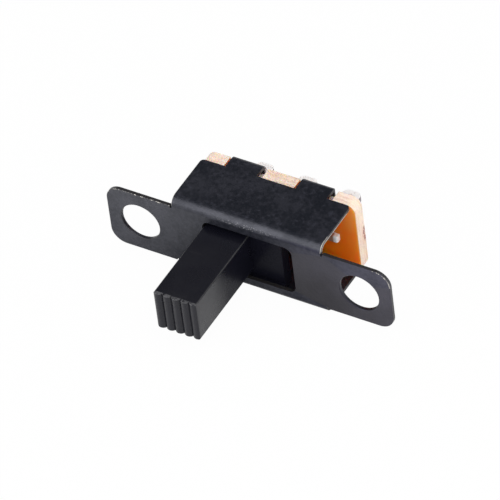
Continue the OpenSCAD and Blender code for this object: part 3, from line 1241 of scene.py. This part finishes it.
@dataclass
class Slider(SwitchPart):
    """The moulded slider: ribbed handle, flange and pocket."""

    body: Body = Body.SLIDING_SET
    slot: Slot = Slot.SLIDER
    rib_back: float = -5.55
    rubbed: float = 0.85

    def edge_grade(self, middle: Vector, first: Vector, second: Vector) -> EdgeGrade:
        """Grades an edge: none round the ribs, eased elsewhere."""
        return EdgeGrade.NONE if middle.y < self.rib_back else EdgeGrade.EASED

    def edge_share(self, centre: Vector, normal: Vector) -> float:
        """Says how far a face is rubbed: only along the handle's four long edges."""
        on_long_edge = self.rib_back < centre.y < 0 and slants(normal.x) and slants(normal.z)
        return self.rubbed if on_long_edge else 0.0

    def build(self) -> None:
        """Builds and dresses the slider."""
        finish = MouldedPlastic("matt_black_moulding", self.effects).make()
        self.dress("slider", "moulded_slider", finish)


@dataclass
class ContactWorks:
    """The moving contact and its spring, which stay as the CAD has them and get their finishes."""

    effects: Effects
    wire: Colour = (0.62, 0.62, 0.63)
    wire_along: Place = (1.0, 1.0, 0.2)

    def build(self) -> None:
        """Gives both nodes their materials."""
        strip = DrawnMetal("rolled_contact_bronze", self.effects)
        wire = DrawnMetal("drawn_spring_wire", self.effects, metal=self.wire, along=self.wire_along)
        rows = (("moving_contact", Slot.STRIP, strip), ("contact_spring", Slot.SPRING, wire))
        for node, slot, finish in rows:
            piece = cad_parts[node]
            piece.data.materials.clear()
            piece.data.materials.append(finish.make())
            log.info("%s: keeps its shape, new finish %s", node, finish.name)


# The studio


@dataclass
class PhotoCamera:
    """The camera at the photograph's angle, which is in degrees. Its clipping distances are in metres."""

    target: Place = (-0.0647, 0.3185, 0.3095)
    azimuth: float = 34.672
    elevation: float = 43.991
    roll: float = -7.680
    distance: float = 417.020
    focal_length: float = 504.0
    sensor: float = 36.0
    clip: Span = (0.01, 20.0)

    def build(self) -> None:
        """Places the camera and makes it the scene's own."""
        turn, rise = math.radians(self.azimuth), math.radians(self.elevation)
        back = Vector((math.sin(turn) * math.cos(rise), -math.cos(turn) * math.cos(rise), math.sin(rise)))
        data = bpy.data.cameras.new("photo_camera")
        data.lens = self.focal_length
        data.sensor_width = self.sensor
        data.clip_start, data.clip_end = self.clip
        camera = bpy.data.objects.new("photo_camera", data)
        bpy.context.scene.collection.objects.link(camera)
        camera.rotation_mode = "QUATERNION"
        camera.location = (Vector(self.target) + self.distance * back) * MM
        level = (-back).to_track_quat("-Z", "Y")
        camera.rotation_quaternion = level @ Quaternion((0.0, 0.0, 1.0), math.radians(self.roll))
        bpy.context.scene.camera = camera


@dataclass(frozen=True)
class Lamp:
    """A soft area lamp that faces the switch. Its size and distance are in metres."""

    name: str
    towards: Place
    size: Span
    radiance: float
    distance: float = 0.5

    def build(self) -> None:
        """Hangs the lamp."""
        data = bpy.data.lights.new(self.name, "AREA")
        data.shape = "RECTANGLE"
        data.size, data.size_y = self.size
        data.energy = self.radiance * math.pi * self.size[0] * self.size[1]
        lamp = bpy.data.objects.new(self.name, data)
        bpy.context.scene.collection.objects.link(lamp)
        direction = Vector(self.towards).normalized()
        lamp.location = direction * self.distance
        lamp.rotation_mode = "QUATERNION"
        lamp.rotation_quaternion = (-direction).to_track_quat("-Z", "Y")


@dataclass
class Studio:
    """Plain pale floor, soft lamps and a white surround. The floor's size is in metres."""

    floor_size: float = 4.0
    floor_gap: float = 0.01
    floor_colour: Colour = (0.86, 0.86, 0.86)
    paper_scale: float = 0.9
    paper_tone: Ramp = Ramp(0.3, 0.7, 0.97, 1.0)
    camera_glow: float = 0.97
    mirror_glow: float = 0.25
    sky: Ramp = Ramp(0.12, 0.45, 1.0, 0.12)
    lamps: tuple[Lamp, ...] = (
        Lamp("left_softbox", (-0.40, -0.70, 0.60), (0.36, 0.50), 2.35),
        Lamp("front_softbox", (0.45, -0.70, 0.60), (0.40, 0.40), 2.0),
        Lamp("right_fill", (0.80, -0.05, 0.60), (0.50, 0.50), 1.0),
        Lamp("top_panel", (0.25, 0.05, 0.97), (0.50, 0.50), 1.3),
    )

    def floor_finish(self) -> bpy.types.Material:
        """Makes the floor's paper, white to the camera and part of that white to mirrored rays.

        Returns:
            The material.
        """
        material = bpy.data.materials.new("pale_floor")
        material.use_nodes = True
        board = Patchboard(material.node_tree)
        board.tree.nodes.remove(board.tree.nodes["Principled BSDF"])
        tone = board.ramp(board.noise(board.place(), self.paper_scale), self.paper_tone)
        shade = board.blend(1.0, self.floor_colour, tone, "MULTIPLY")
        paper = board.add("ShaderNodeBsdfDiffuse", {"Color": shade})
        glow = board.add("ShaderNodeEmission", {"Color": (1.0, 1.0, 1.0, 1.0), "Strength": 1.0})
        rays = board.add("ShaderNodeLightPath").outputs
        mirrored = board.maths("MAXIMUM", rays["Is Glossy Ray"], rays["Is Transmission Ray"])
        mirrored = board.product(mirrored, self.mirror_glow)
        share = board.maths("MAXIMUM", board.product(rays["Is Camera Ray"], self.camera_glow), mirrored)
        mixed = board.add("ShaderNodeMixShader", {0: share, 1: paper.outputs[0], 2: glow.outputs[0]})
        board.feed(board.tree.nodes["Material Output"], {"Surface": mixed.outputs[0]})
        return material

    def lay_floor(self) -> None:
        """Lays the floor just under the switch."""
        put_down_all()
        level = CAD_BOX[0].z - self.floor_gap * MM
        bpy.ops.mesh.primitive_plane_add(size=self.floor_size, location=(0.0, 0.0, level))
        floor = bpy.context.object
        floor.name = "pale_floor"
        floor.data.materials.append(self.floor_finish())

    def light_world(self) -> None:
        """Makes the surround white to the camera and near the horizon, and darker overhead."""
        world = bpy.data.worlds.new("studio_surround")
        bpy.context.scene.world = world
        world.use_nodes = True
        board = Patchboard(world.node_tree)
        _, _, height = board.split(board.add("ShaderNodeTexCoord").outputs["Generated"])
        seen = board.add("ShaderNodeLightPath").outputs["Is Camera Ray"]
        strength = board.maths("MAXIMUM", board.ramp(height, self.sky), seen)
        board.feed(board.tree.nodes["Background"], {"Strength": strength, "Color": (1.0, 1.0, 1.0, 1.0)})

    def build(self) -> None:
        """Sets up the whole studio."""
        self.lay_floor()
        self.light_world()
        for lamp in self.lamps:
            lamp.build()
        bpy.context.scene.view_settings.view_transform = "Standard"
        log.info("studio: floor, surround and %d lamps", len(self.lamps))


def main() -> None:
    """Builds the dressed switch and its studio."""
    logging.basicConfig(level=logging.INFO, format="%(name)s: %(message)s")
    effects = Effects()
    for part in (SteelFrame, BaseBoard, Terminals, Slider, ContactWorks):
        part(effects).build()
    Studio().build()
    PhotoCamera().build()


if __name__ == "__main__":
    main()
